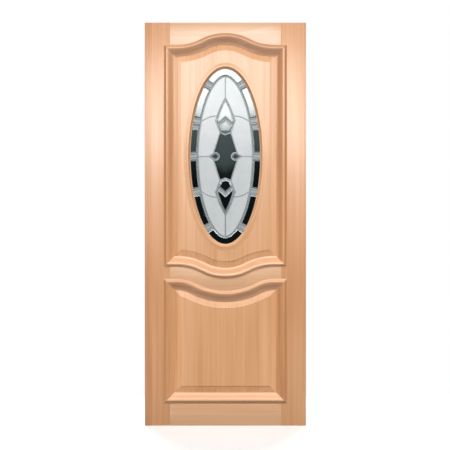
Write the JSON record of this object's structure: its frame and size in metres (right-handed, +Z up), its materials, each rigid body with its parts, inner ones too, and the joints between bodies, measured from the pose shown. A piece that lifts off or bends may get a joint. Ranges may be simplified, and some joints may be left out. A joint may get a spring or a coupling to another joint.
{
  "type": "entrance door leaf",
  "caption": "Entrance door leaf: stile and rail frame, raised panels with planted mouldings, and an oval leaded light with a bevelled glass cluster.",
  "frame": {"origin": "centre of the hinge edge, the long edge on the left when the moulded front is looked at, halfway up the leaf", "axes": "+X across the leaf from the hinge edge to the lock edge, -Y out of the moulded front, +Z up along the leaf"},
  "size_m": [0.813, 0.0545, 2.032],
  "materials": {
    "frame_wood": "light softwood with a clear satin stain, fine straight grain",
    "panel_wood": "the same wood, edge-glued staves, clear satin stain",
    "moulding_wood": "the same wood, moulded, clear satin stain",
    "obscure_glass": "pale finely rippled obscure glass",
    "bevelled_glass": "clear polished plate glass with ground bevels",
    "lead": "dull dark lead came with soldered joints"
  },
  "bodies": {
    "root": {"hinge_stile": "frame_wood", "lock_stile": "frame_wood", "top_rail": "frame_wood", "middle_rail": "frame_wood", "bottom_rail": "frame_wood", "upper_panel": "panel_wood", "lower_panel": "panel_wood", "upper_moulding_top": "moulding_wood", "upper_moulding_bottom": "moulding_wood", "upper_moulding_left": "moulding_wood", "upper_moulding_right": "moulding_wood", "lower_moulding_top": "moulding_wood", "lower_moulding_bottom": "moulding_wood", "lower_moulding_left": "moulding_wood", "lower_moulding_right": "moulding_wood", "oval_bead_front": "moulding_wood", "oval_bead_back": "moulding_wood", "upper_tip_field_left": "obscure_glass", "upper_tip_field_right": "obscure_glass", "upper_middle_field_left": "obscure_glass", "upper_middle_field_right": "obscure_glass", "lower_tip_field_left": "obscure_glass", "lower_tip_field_right": "obscure_glass", "lower_middle_field_left": "obscure_glass", "lower_middle_field_right": "obscure_glass", "border_glass_01": "bevelled_glass", "border_glass_02": "bevelled_glass", "border_glass_03": "bevelled_glass", "border_glass_04": "bevelled_glass", "border_glass_05": "bevelled_glass", "border_glass_06": "bevelled_glass", "border_glass_07": "bevelled_glass", "border_glass_08": "bevelled_glass", "border_glass_09": "bevelled_glass", "border_glass_10": "bevelled_glass", "border_square_01": "bevelled_glass", "border_square_02": "bevelled_glass", "border_square_03": "bevelled_glass", "border_square_04": "bevelled_glass", "border_square_05": "bevelled_glass", "border_square_06": "bevelled_glass", "border_square_07": "bevelled_glass", "border_square_08": "bevelled_glass", "border_square_09": "bevelled_glass", "border_square_10": "bevelled_glass", "upper_drop": "bevelled_glass", "lower_drop": "bevelled_glass", "upper_kite": "bevelled_glass", "lower_kite": "bevelled_glass", "centre_diamond": "bevelled_glass", "left_jewel": "bevelled_glass", "right_jewel": "bevelled_glass", "lead_cames": "lead"}
  },
  "joints": []
}
